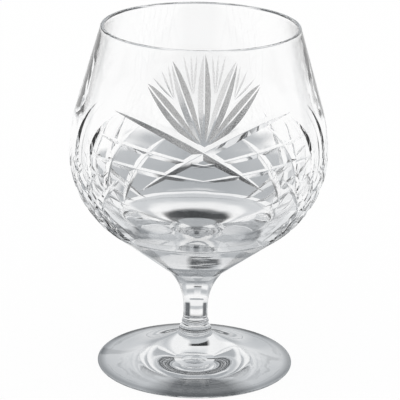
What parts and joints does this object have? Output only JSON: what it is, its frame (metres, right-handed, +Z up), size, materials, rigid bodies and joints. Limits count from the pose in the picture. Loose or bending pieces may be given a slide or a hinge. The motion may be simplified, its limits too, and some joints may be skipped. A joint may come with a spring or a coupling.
{
  "type": "brandy snifter",
  "caption": "Cut crystal brandy snifter: a wide bowl that narrows to the rim, cut with a leaf fan, crossed swags and diamond fields, on a short stem, ringed collar and round foot.",
  "frame": {"origin": "on the table under the middle of the foot", "axes": "+Z up along the axis of the glass, -Y towards the plain front panel"},
  "size_m": [0.0944, 0.0944, 0.13],
  "materials": {
    "crystal_bowl": "polished",
    "crystal_stem": "polished",
    "crystal_foot": "polished"
  },
  "bodies": {
    "root": {"bowl": "crystal_bowl", "stem": "crystal_stem", "collar": "crystal_stem", "foot": "crystal_foot"}
  },
  "joints": []
}
